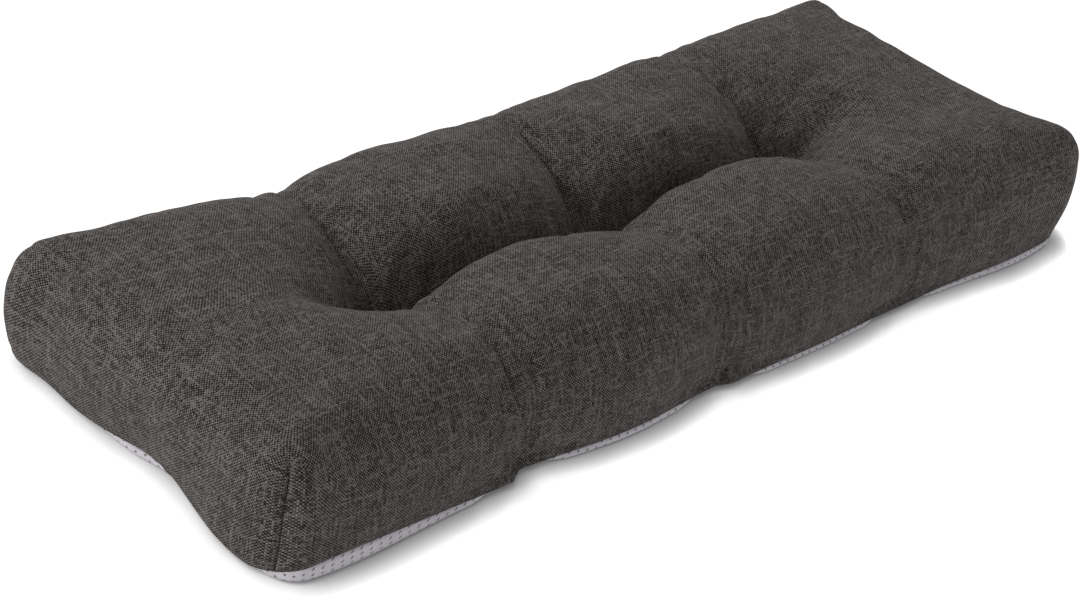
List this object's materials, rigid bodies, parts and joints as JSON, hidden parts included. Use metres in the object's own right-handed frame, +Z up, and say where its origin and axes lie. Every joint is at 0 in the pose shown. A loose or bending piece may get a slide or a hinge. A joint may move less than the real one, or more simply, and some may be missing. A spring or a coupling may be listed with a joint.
{
  "type": "bench cushion",
  "caption": "Long tufted bench cushion: a boxed, filled fabric body drawn down by a row of tufts, on a thin non-slip base panel.",
  "frame": {"origin": "middle of the footprint, on the surface that the cushion lies on", "axes": "+X along the length, -Y towards the front long side, +Z up through the tufted face"},
  "size_m": [0.9139, 0.3369, 0.1153],
  "materials": {
    "cushion_body": "heathered charcoal plain weave, matt",
    "base_panel": "pale grey knit with small grip dots"
  },
  "bodies": {
    "root": {"cushion_body": "cushion_body", "base_panel": "base_panel"}
  },
  "joints": []
}
